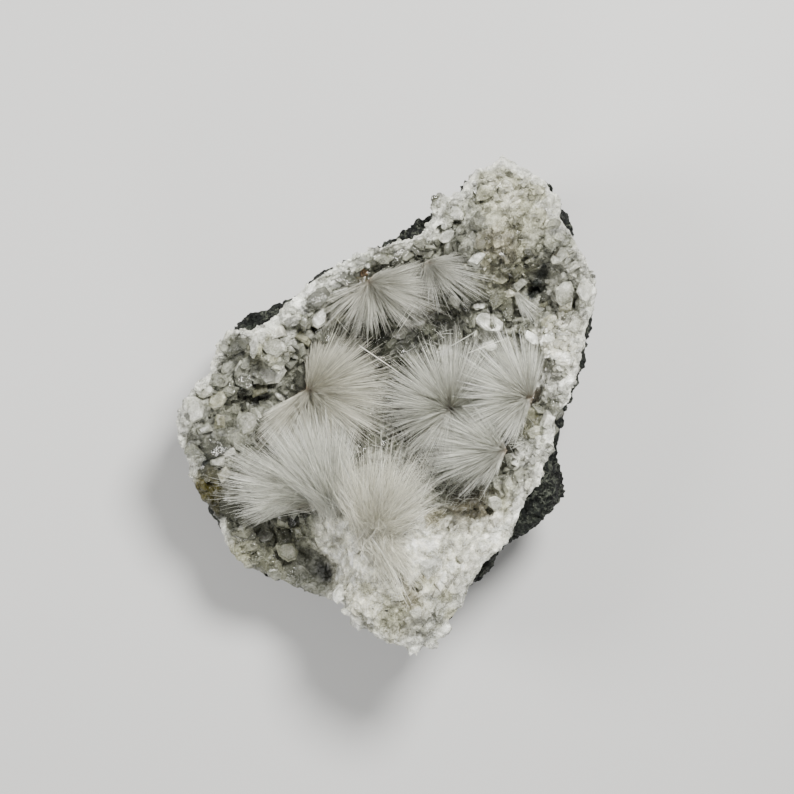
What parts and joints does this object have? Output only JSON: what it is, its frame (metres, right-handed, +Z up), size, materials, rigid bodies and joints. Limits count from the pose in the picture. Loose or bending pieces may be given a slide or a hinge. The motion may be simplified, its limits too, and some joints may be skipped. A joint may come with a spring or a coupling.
{
  "type": "mesolite specimen",
  "caption": "Loose piece of dark basalt with an open hollow, lined with pale crystals that carry radiating sprays of fine white mesolite needles.",
  "frame": {"origin": "under the middle of the bounding box, on the surface that the broken back lies on", "axes": "+Z points up out of the hollow, +Y along the piece to its narrow end, +X to the side where the basalt shows past the rim"},
  "size_m": [0.0848, 0.1006, 0.0488],
  "materials": {
    "basalt": "rough",
    "crust": "glossy",
    "mesolite": "silky"
  },
  "bodies": {
    "root": {"basalt_matrix": "basalt", "crystal_crust": "crust", "mesolite_spray_upper_left": "mesolite", "mesolite_spray_upper": "mesolite", "mesolite_spray_left": "mesolite", "mesolite_spray_centre": "mesolite", "mesolite_spray_right": "mesolite", "mesolite_spray_lower_right": "mesolite", "mesolite_spray_lower_left": "mesolite", "mesolite_spray_low_middle": "mesolite", "mesolite_spray_bottom": "mesolite", "mesolite_spray_far_right": "mesolite"}
  },
  "joints": []
}
